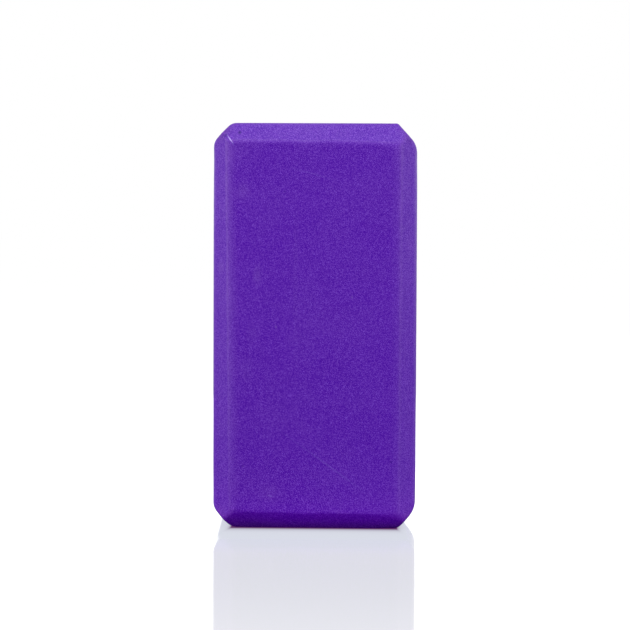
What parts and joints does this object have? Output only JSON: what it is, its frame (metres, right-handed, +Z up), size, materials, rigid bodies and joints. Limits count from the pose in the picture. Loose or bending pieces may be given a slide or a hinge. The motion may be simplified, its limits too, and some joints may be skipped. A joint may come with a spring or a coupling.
{
  "type": "yoga block",
  "caption": "Foam yoga block with bevelled edges, laminated from foam slabs, for support and alignment in yoga and stretching.",
  "frame": {"origin": "middle of the end face that the block stands on", "axes": "+Z up the block's height, X across its width, Y through its thickness with the front face towards -Y"},
  "size_m": [0.11, 0.07, 0.22],
  "materials": {
    "foam": "matte",
    "glue": "satin"
  },
  "bodies": {
    "root": {"front_slab": "foam", "rear_slab": "foam", "glue_film": "glue"}
  },
  "joints": []
}
